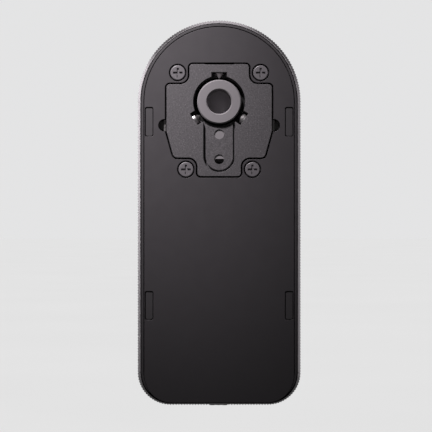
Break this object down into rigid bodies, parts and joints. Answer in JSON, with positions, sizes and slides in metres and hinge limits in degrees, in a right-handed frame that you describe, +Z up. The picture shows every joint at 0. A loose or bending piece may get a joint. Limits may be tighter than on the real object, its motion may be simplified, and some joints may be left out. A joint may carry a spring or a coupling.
{
  "type": "video doorbell",
  "caption": "Slim battery doorbell with a round top, a ribbed side band and a rear collar that clamps on a door tube; camera and button in front.",
  "frame": {"origin": "on the spigot's axis, in the plane where the mounting plate meets the door", "axes": "+Z up along the housing, +Y out of the rear face towards the door, the camera and button face -Y"},
  "size_m": [0.06, 0.0263, 0.1426],
  "materials": {
    "cover": "charcoal moulded cover, satin",
    "plate": "fine textured charcoal coat on cast metal",
    "spigot": "light grey bead-blasted",
    "band": "ribbed, dark anodised with bright bevels",
    "shell": "black satin",
    "chassis": "black moulded",
    "screw_dark": "dark coated steel",
    "screw_bright": "bright zinc plated steel",
    "spring_steel": "sprung strip",
    "rubber": "soft dark grey",
    "lock_metal": "cast, worn bright at the waist",
    "battery": "black wrapped cell",
    "contacts": "gold plated",
    "inner_plastic": "black glass-filled",
    "front": "glossy black",
    "window": "smoked glass",
    "lens_glass": "coated lens",
    "filter_glass": "infrared-cut glass and clear glass",
    "board": "dark green board",
    "chip": "black epoxy",
    "tin": "tinned steel",
    "copper": "enamelled copper",
    "seal": "black silicone rubber",
    "flex": "amber polyimide ribbon",
    "led": "clear epoxy domes",
    "pir_white": "black infrared-clear polythene",
    "cone": "pressed paper",
    "mesh": "woven screen",
    "button": "black with a fine satin dish",
    "light_ring": "frosted diffuser"
  },
  "bodies": {
    "housing": {"knurled_frame": "band", "back_shell": "shell", "rear_cover": "cover", "cover_screws": "screw_dark", "viewer_spigot": "spigot", "spigot_gasket": "seal", "mount_chassis": "chassis", "spigot_screws": "screw_bright", "cable_grommet": "rubber", "battery_tray": "inner_plastic", "contact_pins": "contacts", "front_cover": "front", "front_gasket": "seal", "camera_window": "window", "camera_board": "board", "image_sensor": "chip", "camera_bracket": "inner_plastic", "filter_solenoid": "copper", "lens_barrel": "inner_plastic", "camera_lenses": "lens_glass", "ir_led_board": "board", "ir_leds": "led", "camera_flex": "flex", "pir_lens": "pir_white", "pir_sensor": "tin", "speaker_basket": "inner_plastic", "speaker_magnet": "tin", "speaker_gasket": "seal", "speaker_mesh": "mesh", "microphone": "tin", "main_pcb": "board", "board_screws": "screw_bright", "processor": "chip", "shield_can": "tin", "wifi_antenna": "tin", "board_parts": "chip", "tact_switch": "chip", "button_light_ring": "light_ring", "button_guide": "inner_plastic", "button_spring": "spring_steel"},
    "plate": {"mounting_plate": "plate"},
    "clamp_top": {"clamp_screw_top": "screw_bright"},
    "clamp_left": {"clamp_screw_left": "screw_bright"},
    "clamp_right": {"clamp_screw_right": "screw_bright"},
    "catch_right": {"catch_right": "spring_steel"},
    "catch_left": {"catch_left": "spring_steel"},
    "drawer": {"bottom_cap": "band", "battery_pack": "battery", "battery_pads": "contacts", "drawer_seal": "seal"},
    "lock": {"lock_knob": "lock_metal", "lock_cam": "lock_metal"},
    "button": {"doorbell_button": "button"},
    "filter": {"filter_slider": "inner_plastic", "filter_glasses": "filter_glass"},
    "cone": {"speaker_cone": "cone"}
  },
  "joints": [
    {"name": "plate_lift", "type": "slide", "parent": "housing", "child": "plate", "axis": [0, 1, 0], "range_m": [0, 0.012]},
    {"name": "clamp_top_turn_in", "type": "slide", "parent": "plate", "child": "clamp_top", "axis": [0, 0, 1], "range_m": [-0.0005, 0.001]},
    {"name": "clamp_left_turn_in", "type": "slide", "parent": "plate", "child": "clamp_left", "axis": [-0.8192, 0, -0.5736], "range_m": [-0.0005, 0.001]},
    {"name": "clamp_right_turn_in", "type": "slide", "parent": "plate", "child": "clamp_right", "axis": [0.8192, 0, -0.5736], "range_m": [-0.0005, 0.001]},
    {"name": "catch_right_slide", "type": "slide", "parent": "housing", "child": "catch_right", "axis": [-1, 0, 0], "range_m": [0, 0.00062]},
    {"name": "catch_left_slide", "type": "slide", "parent": "housing", "child": "catch_left", "axis": [1, 0, 0], "range_m": [0, 0.00062]},
    {"name": "drawer_slide", "type": "slide", "parent": "housing", "child": "drawer", "axis": [0, 0, -1], "range_m": [0, 0.075]},
    {"name": "lock_turn", "type": "hinge", "parent": "drawer", "child": "lock", "pos_m": [0.00025, -0.0125, -0.108], "axis": [0, 0, -1], "range_deg": [0, 90]},
    {"name": "button_press", "type": "slide", "parent": "housing", "child": "button", "axis": [0, 1, 0], "range_m": [0, 0.0008], "stiffness_N_per_m": 400, "springref_m": -0.0015, "deforming": ["button_spring"]},
    {"name": "filter_shift", "type": "slide", "parent": "housing", "child": "filter", "axis": [-1, 0, 0], "range_m": [0, 0.008]},
    {"name": "cone_travel", "type": "slide", "parent": "housing", "child": "cone", "axis": [0, 1, 0], "range_m": [-0.0004, 0.0004], "stiffness_N_per_m": 300}
  ]
}
